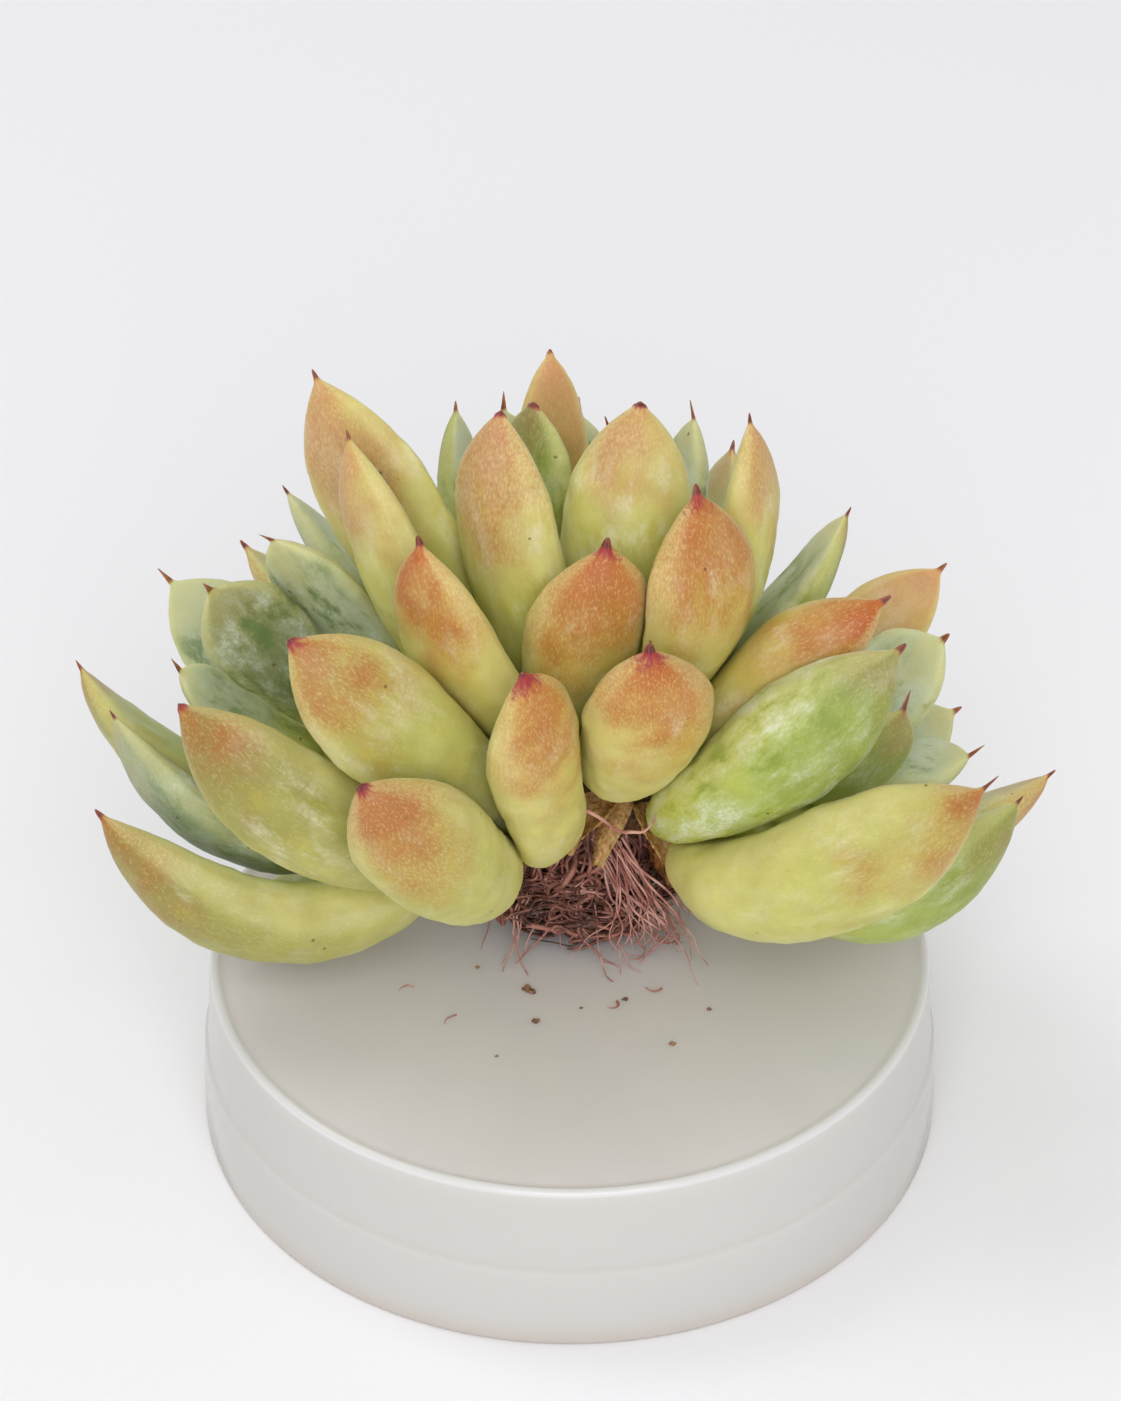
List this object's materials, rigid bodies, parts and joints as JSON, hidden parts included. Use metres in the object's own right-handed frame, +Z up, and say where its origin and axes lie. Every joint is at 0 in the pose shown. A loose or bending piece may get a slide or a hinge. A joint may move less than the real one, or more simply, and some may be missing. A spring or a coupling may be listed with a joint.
{
  "type": "bare-root rosette succulent on a round stand",
  "caption": "Clumping rosette succulent with plump pointed leaves, standing on its bare root ball on a low round milky stand, for display.",
  "frame": {"origin": "centre of the stand's flat foot, on the surface it stands on", "axes": "+Z up; -Y towards the front of the plant; +X to the right seen from the front"},
  "size_m": [0.0984, 0.0846, 0.0802],
  "materials": {
    "stand": "milky, translucent, smooth",
    "roots": "fibrous, matte",
    "stem": "dry bark, matte",
    "dry_leaf": "papery, dry",
    "blush": "waxy leaf skin, lime with an orange blush",
    "green": "waxy leaf skin, lime green",
    "glaucous": "waxy leaf skin, blue-green under a pale bloom"
  },
  "bodies": {
    "root": {"stand": "stand", "root_ball": "roots", "stem": "stem", "left_leaf_01": "blush", "left_leaf_02": "green", "left_leaf_03": "blush", "left_leaf_04": "blush", "left_leaf_05": "blush", "left_leaf_06": "glaucous", "left_leaf_07": "glaucous", "left_leaf_08": "glaucous", "left_leaf_09": "blush", "left_leaf_10": "glaucous", "left_leaf_11": "glaucous", "left_leaf_12": "green", "left_leaf_13": "blush", "centre_leaf_01": "blush", "centre_leaf_02": "green", "centre_leaf_03": "blush", "centre_leaf_04": "blush", "centre_leaf_05": "blush", "centre_leaf_06": "blush", "centre_leaf_07": "blush", "centre_leaf_08": "green", "centre_leaf_09": "blush", "centre_leaf_10": "glaucous", "centre_leaf_11": "glaucous", "centre_leaf_12": "blush", "centre_leaf_13": "blush", "centre_leaf_14": "blush", "centre_leaf_15": "glaucous", "right_leaf_01": "blush", "right_leaf_02": "green", "right_leaf_03": "blush", "right_leaf_04": "green", "right_leaf_05": "blush", "right_leaf_06": "green", "right_leaf_07": "glaucous", "right_leaf_08": "glaucous", "right_leaf_09": "blush", "right_leaf_10": "green", "dry_leaf": "dry_leaf", "rear_leaf_01": "glaucous", "rear_leaf_02": "blush", "rear_leaf_03": "glaucous", "rear_leaf_04": "blush", "rear_leaf_05": "blush", "rear_leaf_06": "blush", "rear_leaf_07": "blush", "rear_leaf_08": "blush", "rear_leaf_09": "green", "rear_leaf_10": "glaucous", "rear_leaf_11": "green", "rear_leaf_12": "glaucous"}
  },
  "joints": []
}
